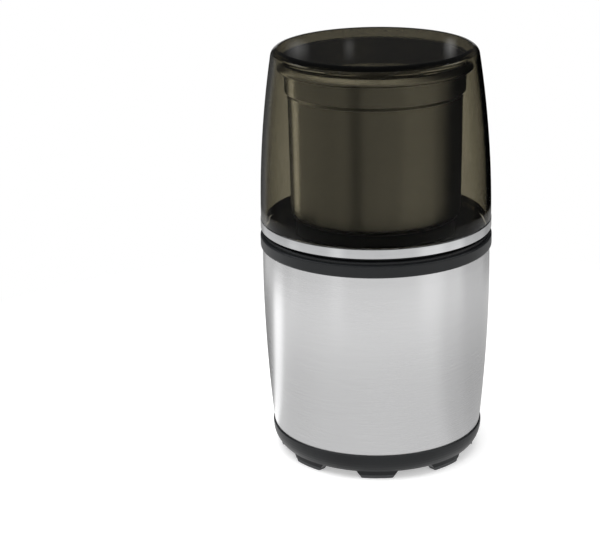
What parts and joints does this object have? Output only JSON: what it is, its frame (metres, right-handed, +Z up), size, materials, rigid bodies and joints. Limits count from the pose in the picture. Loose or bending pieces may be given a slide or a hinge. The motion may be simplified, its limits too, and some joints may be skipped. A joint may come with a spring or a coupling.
{
  "type": "electric spice grinder",
  "caption": "Electric spice grinder: brushed steel motor base, twist-lock steel bowl with a spinning blade, and a clear push-down lid that works the switch.",
  "frame": {"origin": "centre of the circle of foot pads, on the table plane", "axes": "+Z up along the motor and blade axis, front towards -Y, +X to the right seen from the front"},
  "size_m": [0.1172, 0.1172, 0.21],
  "materials": {
    "smoked_plastic": "clear smoked moulding, polished",
    "chrome": "polished bright ring",
    "bowl_steel": "drawn stainless steel, fine turned brushing",
    "sleeve_steel": "stainless sheet, fine horizontal brushing",
    "blade_steel": "stamped and ground stainless steel",
    "plated_steel": "zinc-plated steel",
    "black_satin": "satin black moulding",
    "black_deck": "glossy black moulding",
    "black_nylon": "black nylon",
    "white_nylon": "natural nylon",
    "chassis_plastic": "glass-filled grey moulding",
    "rubber_pad": "grey-black rubber",
    "rubber_seal": "black rubber",
    "bronze": "oil-filled sintered bronze",
    "brass": "stamped brass",
    "lamination": "stacked electrical steel",
    "copper": "enamelled copper winding",
    "commutator_copper": "turned copper bars",
    "carbon": "pressed carbon",
    "capacitor_case": "moulded box",
    "button_red": "moulded plunger",
    "brackets_cast": "die-cast"
  },
  "bodies": {
    "base": {"steel_sleeve": "sleeve_steel", "top_collar": "black_satin", "deck": "black_deck", "drive_seal": "rubber_seal", "chassis": "chassis_plastic", "base_skirt": "black_satin", "bottom_cover": "black_satin", "foot_pads": "rubber_pad", "cord_gland": "rubber_seal", "stator_core": "lamination", "field_coils": "copper", "upper_bracket": "brackets_cast", "lower_bracket": "black_nylon", "upper_bearing": "bronze", "lower_bearing": "bronze", "bearing_clips": "plated_steel", "brush_holders": "brass", "carbon_brushes": "carbon", "brush_springs": "plated_steel", "motor_mounts": "rubber_seal", "motor_screws": "plated_steel", "chassis_screws": "plated_steel", "bottom_screws": "plated_steel", "switch_body": "black_nylon", "switch_terminals": "brass", "capacitor": "capacitor_case", "return_springs": "plated_steel"},
    "pusher": {"pusher_ring": "white_nylon"},
    "lid": {"lid_dome": "smoked_plastic", "lid_ring": "chrome"},
    "bowl": {"bowl_shell": "bowl_steel", "bowl_base": "black_satin", "bearing_housing": "plated_steel", "housing_nut": "plated_steel", "housing_gasket": "rubber_seal", "bowl_bushes": "bronze", "shaft_seal": "rubber_seal"},
    "cutter": {"blade_shaft": "plated_steel", "blade": "blade_steel", "blade_nut": "plated_steel", "blade_spacer": "plated_steel", "retaining_ring": "plated_steel", "driven_coupling": "black_nylon"},
    "rotor": {"motor_shaft": "plated_steel", "armature_core": "lamination", "armature_windings": "copper", "commutator": "commutator_copper", "cooling_fan": "black_nylon", "drive_coupling": "white_nylon"},
    "lever": {"switch_lever": "plated_steel"},
    "button": {"switch_button": "button_red"}
  },
  "joints": [
    {"name": "lid_press", "type": "slide", "parent": "base", "child": "pusher", "axis": [0, 0, 1], "range_m": [-0.003, 0], "stiffness_N_per_m": 3000, "springref_m": 0.002, "deforming": ["return_springs"]},
    {"name": "lid_lift", "type": "slide", "parent": "pusher", "child": "lid", "axis": [0, 0, 1], "range_m": [0, 0.12]},
    {"name": "bowl_twist", "type": "hinge", "parent": "base", "child": "bowl", "pos_m": [0, 0, 0.12], "axis": [0, 0, 1], "range_deg": [0, 35]},
    {"name": "motor_spin", "type": "hinge", "parent": "base", "child": "rotor", "pos_m": [0, 0, 0.06], "axis": [0, 0, 1], "continuous": true},
    {"name": "blade_spin", "type": "hinge", "parent": "bowl", "child": "cutter", "pos_m": [0, 0, 0.12], "axis": [0, 0, 1], "continuous": true},
    {"name": "lever_tilt", "type": "hinge", "parent": "base", "child": "lever", "pos_m": [0.0505, -0.009, 0.0885], "axis": [-1, 0, 0], "range_deg": [0, 10.6]},
    {"name": "switch_press", "type": "slide", "parent": "base", "child": "button", "axis": [0, 0, 1], "range_m": [-0.0016, 0]}
  ],
  "couplings": [
    {"joint": "blade_spin", "follows": "motor_spin", "ratio": 1},
    {"joint": "lever_tilt", "follows": "lid_press", "rad_per_m": -61.087},
    {"joint": "switch_press", "follows": "lid_press", "ratio": 0.5}
  ]
}
